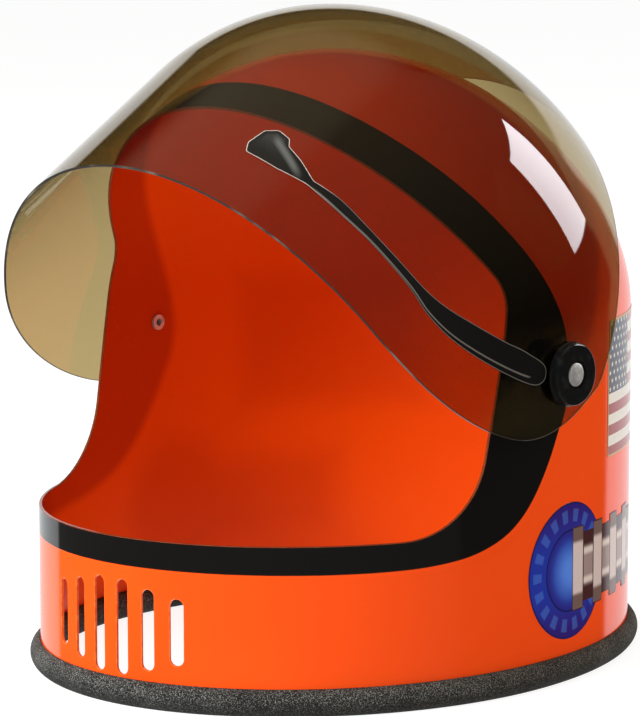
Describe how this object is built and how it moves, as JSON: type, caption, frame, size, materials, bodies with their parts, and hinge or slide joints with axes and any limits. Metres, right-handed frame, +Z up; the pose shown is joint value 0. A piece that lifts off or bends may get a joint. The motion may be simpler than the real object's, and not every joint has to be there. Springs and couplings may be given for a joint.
{
  "type": "play helmet",
  "caption": "Astronaut play helmet: a domed shell with a wide face opening, vent slots, a foam edge trim and a hinged see-through visor, shown raised.",
  "frame": {"origin": "on the surface that the helmet stands on, under the middle of the shell's width and depth", "axes": "+Z up, -Y the way the face looks, +X towards the wearer's left side and along the visor's pivot line"},
  "size_m": [0.2646, 0.3034, 0.2902],
  "materials": {
    "orange_shell": "gloss",
    "grey_foam": "matte",
    "smoke_visor": "clear, gloss",
    "black_decal": "gloss",
    "blue_decal": "gloss",
    "patch_decal": "gloss",
    "black_plastic": "gloss",
    "rivet_metal": "satin"
  },
  "bodies": {
    "helmet": {"shell": "orange_shell", "foam_trim": "grey_foam", "hose_decal_left": "blue_decal", "patch_decal_left": "patch_decal", "pivot_spacer_left": "black_plastic", "pivot_washer_left": "black_plastic", "pivot_knob_left": "black_plastic", "pivot_rivet_left": "rivet_metal", "hose_decal_right": "blue_decal", "patch_decal_right": "patch_decal", "pivot_spacer_right": "black_plastic", "pivot_washer_right": "black_plastic", "pivot_knob_right": "black_plastic", "pivot_rivet_right": "rivet_metal"},
    "visor": {"visor": "smoke_visor", "microphone_decal": "black_decal"}
  },
  "joints": [
    {"name": "visor_hinge", "type": "hinge", "parent": "helmet", "child": "visor", "pos_m": [0, 0.003, 0.137], "axis": [1, 0, 0], "range_deg": [-12, 58.8]}
  ]
}
